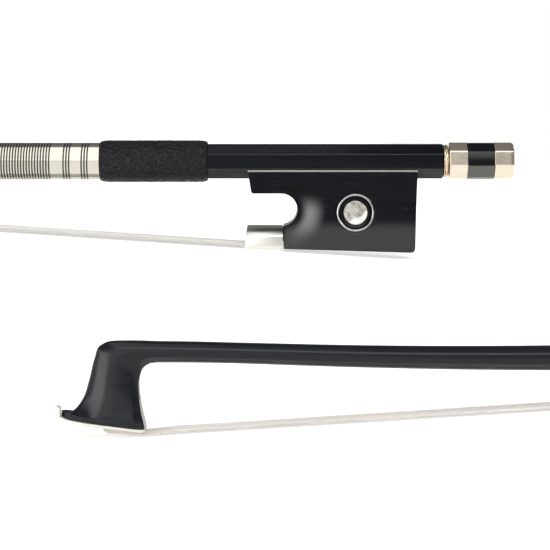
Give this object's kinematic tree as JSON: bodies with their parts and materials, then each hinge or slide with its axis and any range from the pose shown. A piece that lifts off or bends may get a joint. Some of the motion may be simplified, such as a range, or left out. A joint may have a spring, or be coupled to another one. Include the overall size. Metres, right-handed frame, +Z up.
{
  "type": "violin bow",
  "caption": "Full-size violin bow: cambered black stick with hatchet head, horsehair ribbon, silver winding, thumb leather and a sliding frog moved by a screw button.",
  "frame": {"origin": "middle of the bow's length and width, at the level of its lowest point, which is the lower front edge of the ferrule", "axes": "+X along the level hair from the head to the button, +Z up from the hair to the stick, +Y to the far side when the head is on the left"},
  "size_m": [0.7472, 0.0134, 0.0326],
  "materials": {
    "stick_black": "polished black varnish over carbon fibre",
    "ebony": "oiled, half gloss",
    "ivory_white": "satin",
    "horsehair": "natural, faint sheen",
    "silver_winding": "bright wound wire",
    "black_thread": "matt silk",
    "leather": "pebbled, half matt",
    "nickel_silver": "polished",
    "pearl": "polished, streaked",
    "brass": "polished",
    "steel": "machined",
    "maple": "raw"
  },
  "bodies": {
    "stick": {"stick": "stick_black", "head_wedge": "maple", "tip_plate": "ivory_white", "hair_knot_head": "horsehair", "hair_ribbon": "horsehair", "lapping_sleeve": "silver_winding", "lapping_thread": "black_thread", "thumb_leather": "leather"},
    "frog": {"frog_body": "ebony", "underslide": "nickel_silver", "eyelet": "brass", "ferrule": "nickel_silver", "ferrule_wedge": "maple", "frog_plug": "maple", "hair_knot_frog": "horsehair", "slide_base": "ebony", "slide_pearl": "pearl", "eye_pearl_left": "pearl", "eye_pearl_right": "pearl", "eye_ring_left": "nickel_silver", "eye_ring_right": "nickel_silver"},
    "button": {"screw": "steel", "button_collar": "brass", "button_core": "ebony", "button_ring_front": "nickel_silver", "button_ring_rear": "nickel_silver"}
  },
  "joints": [
    {"name": "button_turn", "type": "hinge", "parent": "stick", "child": "button", "pos_m": [0.35458, 0, 0.0264], "axis": [-0.9978, 0, -0.0668], "range_deg": [-2160, 1800]},
    {"name": "frog_slide", "type": "slide", "parent": "stick", "child": "frog", "axis": [0.9978, 0, 0.0668], "range_m": [-0.0042, 0.0035], "deforming": ["hair_ribbon"]}
  ],
  "couplings": [
    {"joint": "button_turn", "follows": "frog_slide", "rad_per_m": 8975}
  ]
}
